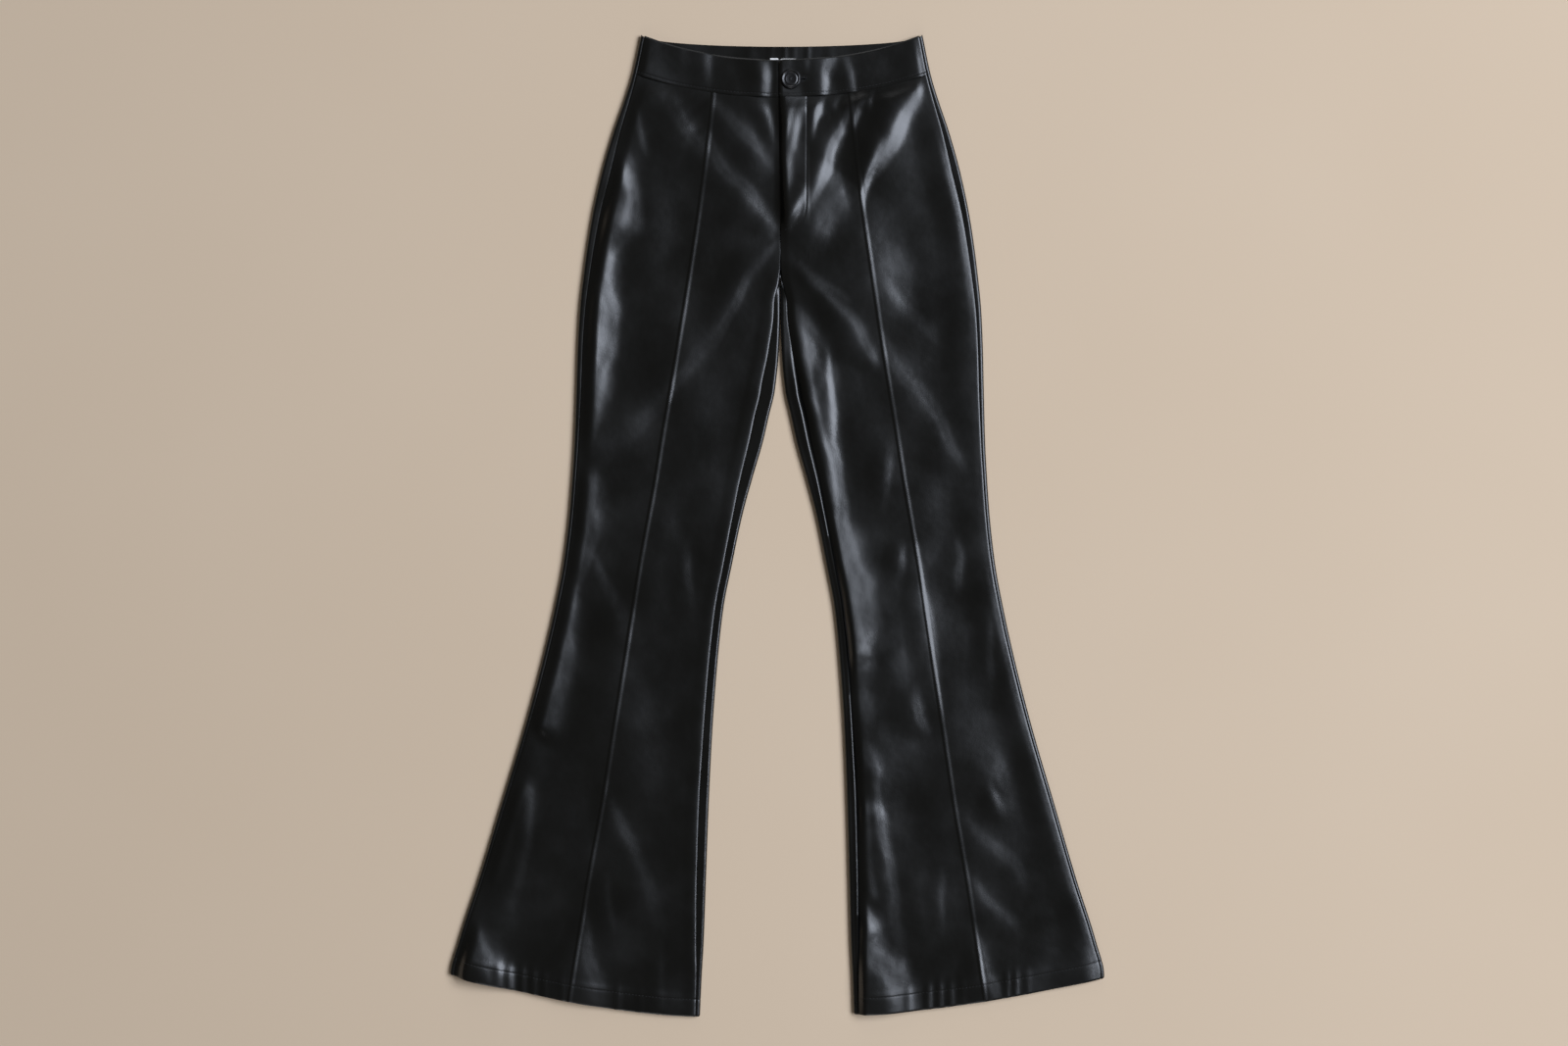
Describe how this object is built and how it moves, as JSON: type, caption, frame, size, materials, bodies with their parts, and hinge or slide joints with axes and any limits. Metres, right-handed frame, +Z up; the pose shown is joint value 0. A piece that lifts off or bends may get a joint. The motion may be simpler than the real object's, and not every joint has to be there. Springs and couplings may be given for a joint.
{
  "type": "faux leather trousers",
  "caption": "High-waisted flared faux leather trousers with pin-tucked fronts, a buttoned waistband and a fly, laid flat with the front up.",
  "frame": {"origin": "on the floor under the middle of the part's bounding box", "axes": "+Z up through the thickness, +Y from the hems towards the waist, +X towards the wearer's left"},
  "size_m": [0.7068, 1.06, 0.0094],
  "materials": {
    "leather": "black faux leather with a fine grain and a soft sheen",
    "label": "plain white woven tape, blank",
    "button": "black polished resin",
    "zip_tape": "black woven tape"
  },
  "bodies": {
    "root": {"front_left": "leather", "front_right": "leather", "back_left": "leather", "back_right": "leather", "waistband_front_left": "leather", "waistband_front_right": "leather", "waistband_back": "leather", "waistband_facing": "leather", "label": "label", "button": "button", "fly_zip": "zip_tape"}
  },
  "joints": []
}
